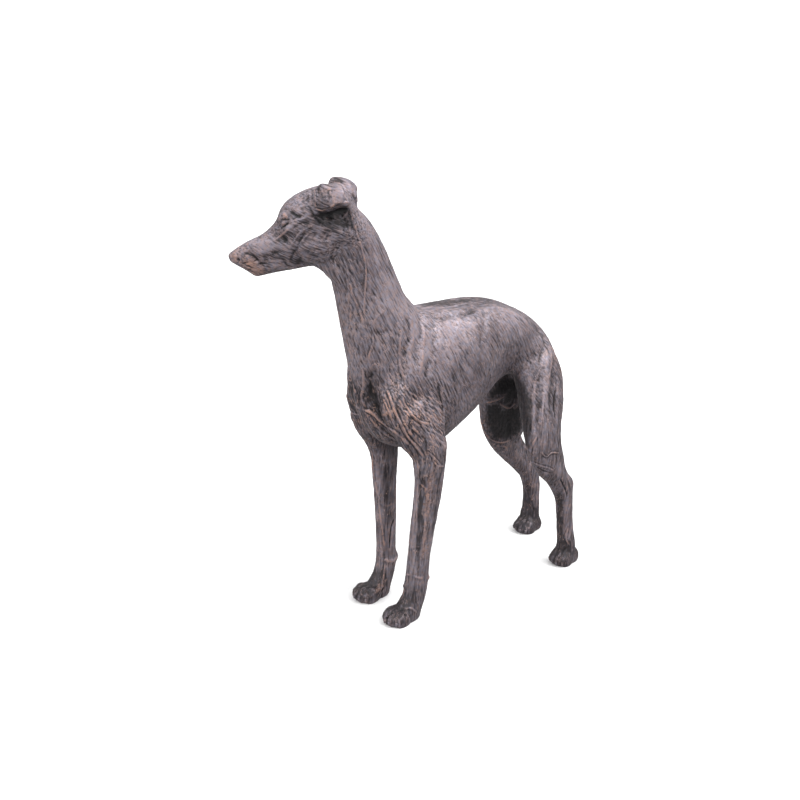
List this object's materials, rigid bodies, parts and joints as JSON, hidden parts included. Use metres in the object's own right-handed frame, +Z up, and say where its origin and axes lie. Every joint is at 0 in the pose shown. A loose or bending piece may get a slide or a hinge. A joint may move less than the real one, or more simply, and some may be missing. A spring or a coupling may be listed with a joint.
{
  "type": "greyhound statue",
  "caption": "Standing greyhound statue with its head turned to the right, cast in one piece with a dark bronze-effect finish rubbed with copper.",
  "frame": {"origin": "on the floor, under the middle of the statue's box, in the plane of the four soles", "axes": "+Z up, -Y the way the dog's body faces, +X the dog's left"},
  "size_m": [0.0938, 0.2652, 0.3],
  "materials": {
    "bronze_finish": "cast resin with a dark graphite bronze-effect finish, satin, with copper rubbed on the ridges"
  },
  "bodies": {
    "root": {"greyhound": "bronze_finish"}
  },
  "joints": []
}
